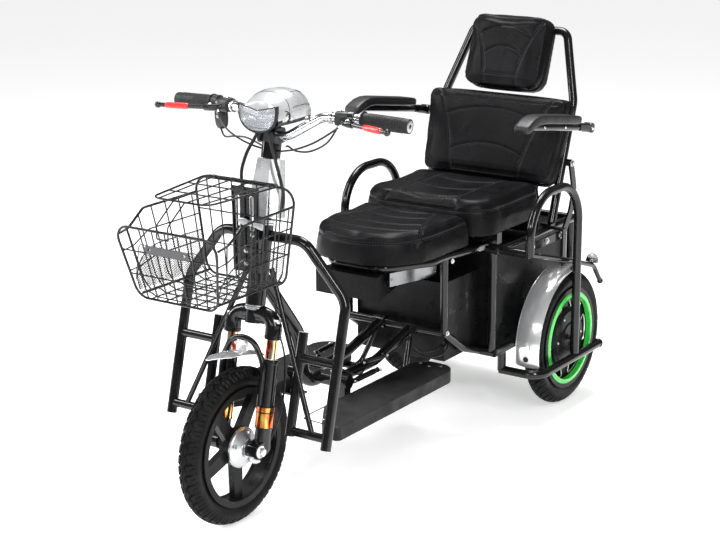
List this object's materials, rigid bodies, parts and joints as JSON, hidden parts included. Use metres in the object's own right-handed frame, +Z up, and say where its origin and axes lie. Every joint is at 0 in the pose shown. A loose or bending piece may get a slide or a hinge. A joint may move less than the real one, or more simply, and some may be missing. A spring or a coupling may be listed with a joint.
{
  "type": "electric tricycle",
  "caption": "Three-wheeled electric mobility scooter with a steered front wheel, wire basket, leg guards, padded seat with armrests and a battery box between the rear wheels.",
  "frame": {"origin": "on the floor under the middle of the whole length and width", "axes": "+X to the vehicle's left, +Y to its rear, +Z up"},
  "size_m": [0.6779, 1.5894, 1.0688],
  "materials": {
    "tyre": "black tread rubber",
    "wheel_black": "satin black cast aluminium",
    "frame_black": "gloss black powder coat",
    "chrome": "polished chrome",
    "gold": "gold anodised",
    "alloy": "cast aluminium",
    "steel": "zinc plated",
    "grip": "moulded grip rubber",
    "lever": "satin black with red sleeves",
    "silver_cover": "silver painted plastic",
    "clear": "clear lens",
    "cable": "black cable sheath",
    "board": "black ribbed mat",
    "box_black": "black sheet steel",
    "leather": "black stitched leather",
    "arm_pad": "dark grey moulded pad",
    "wire": "black coated wire",
    "lamp": "smoked clear dome"
  },
  "bodies": {
    "frame": {"main_frame": "frame_black", "leg_guard_left": "frame_black", "leg_guard_right": "frame_black", "footboards": "board", "rear_frame": "frame_black", "battery_box": "box_black", "controller_box": "box_black", "grab_hoop_left": "frame_black", "grab_hoop_right": "frame_black", "wheel_guards": "frame_black", "rear_mudguards": "chrome", "rear_dropouts": "steel", "front_cushion": "leather", "rear_cushion": "leather", "backrest": "leather", "headrest": "leather", "back_frame": "frame_black", "rear_lamps": "lamp", "basket_ends": "wire", "basket_sides": "wire", "basket_floor": "wire", "basket_plate": "frame_black"},
    "steering": {"fork_crown": "frame_black", "fork_stanchions": "chrome", "fork_legs": "frame_black", "fork_sleeves": "gold", "front_axle": "steel", "brake_cover": "alloy", "fork_brace": "frame_black", "front_mudguard": "chrome", "handlebar": "chrome", "bar_clamp": "frame_black", "grips": "grip", "brake_levers": "lever", "headlamp": "silver_cover", "headlamp_lens": "clear", "column_cover": "silver_cover", "control_cables": "cable"},
    "front_wheel_body": {"front_tyre": "tyre", "front_wheel": "wheel_black"},
    "rear_wheel_left_body": {"rear_tyre_left": "tyre", "rear_wheel_left": "wheel_black"},
    "rear_wheel_right_body": {"rear_tyre_right": "tyre", "rear_wheel_right": "wheel_black"},
    "lid": {"basket_lid": "wire"},
    "arm_left": {"armrest_left": "arm_pad"},
    "arm_right": {"armrest_right": "arm_pad"}
  },
  "joints": [
    {"name": "steering_turn", "type": "hinge", "parent": "frame", "child": "steering", "pos_m": [0, -0.5415, 0.18502], "axis": [0, 0.1994, 0.9799], "range_deg": [-35, 35]},
    {"name": "front_wheel_spin", "type": "hinge", "parent": "steering", "child": "front_wheel_body", "pos_m": [0, -0.566, 0.19], "axis": [1, 0, 0], "continuous": true},
    {"name": "rear_left_spin", "type": "hinge", "parent": "frame", "child": "rear_wheel_left_body", "pos_m": [0.245, 0.604, 0.19], "axis": [1, 0, 0], "continuous": true},
    {"name": "rear_right_spin", "type": "hinge", "parent": "frame", "child": "rear_wheel_right_body", "pos_m": [-0.245, 0.604, 0.19], "axis": [1, 0, 0], "continuous": true},
    {"name": "lid_open", "type": "hinge", "parent": "frame", "child": "lid", "pos_m": [0, -0.5093, 0.8174], "axis": [-1, 0, 0], "range_deg": [0, 70]},
    {"name": "armrest_left_lift", "type": "hinge", "parent": "frame", "child": "arm_left", "pos_m": [0.266, 0.68893, 0.7745], "axis": [-1, 0, 0], "range_deg": [0, 95]},
    {"name": "armrest_right_lift", "type": "hinge", "parent": "frame", "child": "arm_right", "pos_m": [-0.266, 0.68893, 0.7745], "axis": [-1, 0, 0], "range_deg": [0, 95]}
  ]
}
